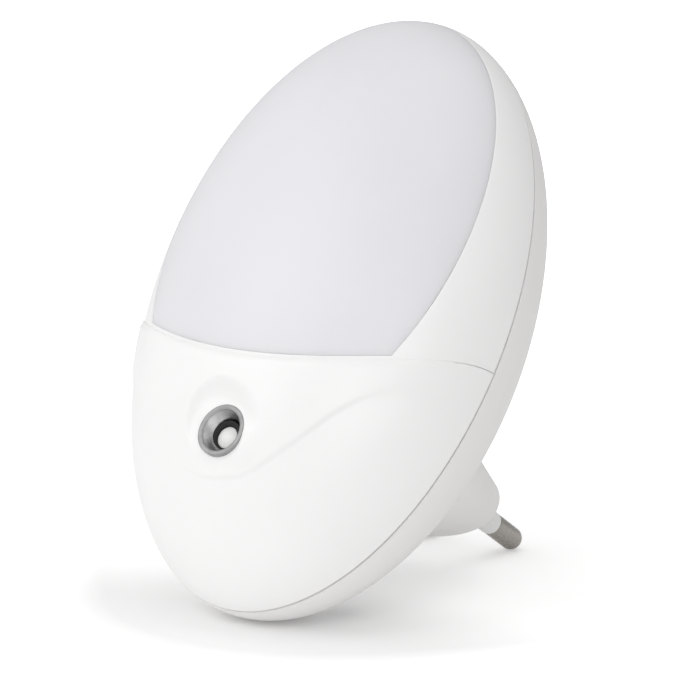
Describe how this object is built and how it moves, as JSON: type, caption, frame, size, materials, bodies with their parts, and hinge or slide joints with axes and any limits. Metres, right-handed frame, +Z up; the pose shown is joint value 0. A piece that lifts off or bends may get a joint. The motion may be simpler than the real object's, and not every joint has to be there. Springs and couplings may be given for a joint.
{
  "type": "plug in night light",
  "caption": "Oval plug-in night light with an opal diffuser, a dusk sensor in a small dish and a flat two-pin plug on its back, leaning on its rim and pins.",
  "frame": {"origin": "middle of the footprint, on the ground under the leaning lamp", "axes": "+X to the right seen from the front, +Z up; the front faces -Y and leans back, and the pins point to +Y and down"},
  "size_m": [0.07, 0.0712, 0.0925],
  "materials": {
    "back_plastic": "fine satin white plastic",
    "front_plastic": "smooth white plastic with a soft gloss",
    "opal_plastic": "satin translucent opal plastic, faintly lilac",
    "sensor_metal": "plated, slightly dulled",
    "lens_resin": "pale diffusing resin, gloss",
    "pin_metal": "nickel-plated brass, satin",
    "sleeve_plastic": "satin white plastic",
    "inner_plastic": "matt white plastic",
    "board_green": "satin solder mask",
    "board_white": "satin white solder mask",
    "led_yellow": "gloss resin over white",
    "black_plastic": "matt moulded epoxy",
    "capacitor_yellow": "gloss",
    "capacitor_sleeve": "gloss shrunk sleeve",
    "resistor_body": "satin lacquer",
    "fuse_body": "satin lacquer",
    "wire_red": "satin insulation",
    "lead_metal": "tinned wire",
    "screw_steel": "zinc plated",
    "contact_brass": "bare strip"
  },
  "bodies": {
    "root": {"back_shell": "back_plastic", "front_bezel": "front_plastic", "diffuser": "opal_plastic", "lower_cover": "front_plastic", "cover_rail": "inner_plastic", "sensor_cup": "sensor_metal", "sensor_lens": "lens_resin", "photocell": "black_plastic", "photocell_leads": "lead_metal", "light_baffle": "black_plastic", "reflector_tray": "inner_plastic", "tray_screws": "screw_steel", "led_board": "board_white", "leds": "led_yellow", "led_wires": "wire_red", "driver_board": "board_green", "board_screws": "screw_steel", "film_capacitor": "capacitor_yellow", "electrolytic_capacitor": "capacitor_sleeve", "bridge_rectifier": "black_plastic", "transistor": "black_plastic", "resistors": "resistor_body", "fuse_resistor": "fuse_body", "pin_carrier": "inner_plastic", "pin_left": "pin_metal", "pin_right": "pin_metal", "pin_sleeve_left": "sleeve_plastic", "pin_sleeve_right": "sleeve_plastic", "contact_tabs": "contact_brass", "case_screws": "screw_steel"}
  },
  "joints": []
}
